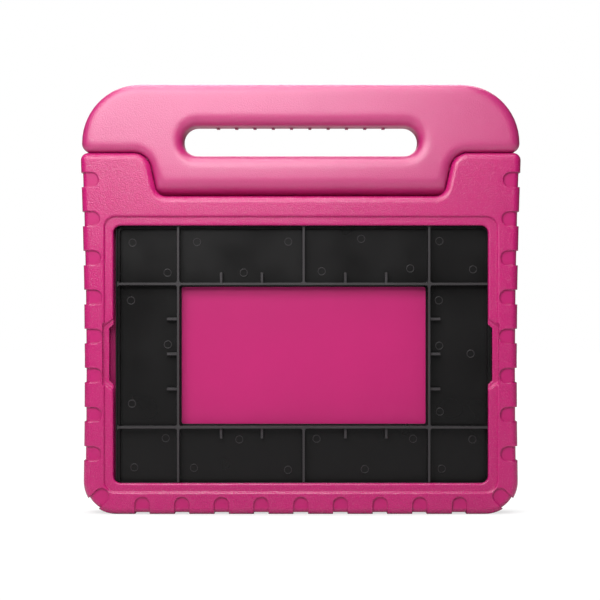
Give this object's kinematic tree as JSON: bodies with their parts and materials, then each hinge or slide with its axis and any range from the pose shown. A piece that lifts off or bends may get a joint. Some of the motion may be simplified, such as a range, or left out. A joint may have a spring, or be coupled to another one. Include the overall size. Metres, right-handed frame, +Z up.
{
  "type": "kids tablet case",
  "caption": "Thick pink foam bumper case for a tablet, with a fold-back carry handle and a black ribbed insert tray in its bay.",
  "frame": {"origin": "on the ground, under the middle of the case as it stands on its long lower edge", "axes": "+X to the viewer's right, +Y to the back of the case, +Z up to the handle"},
  "size_m": [0.2884, 0.027, 0.2814],
  "materials": {
    "pink_foam": "matte pebbled foam skin",
    "black_plastic": "satin moulded plastic",
    "pale_plastic": "smooth moulded plastic"
  },
  "bodies": {
    "case": {"foam_body": "pink_foam", "insert_tray": "black_plastic", "hinge_bush_left": "black_plastic", "hinge_bush_right": "black_plastic"},
    "handle": {"carry_handle": "pink_foam", "hinge_pin_left": "pale_plastic", "hinge_pin_right": "pale_plastic"}
  },
  "joints": [
    {"name": "handle_fold", "type": "hinge", "parent": "case", "child": "handle", "pos_m": [0, 0, 0.2223], "axis": [-1, 0, 0], "range_deg": [0, 90]}
  ]
}
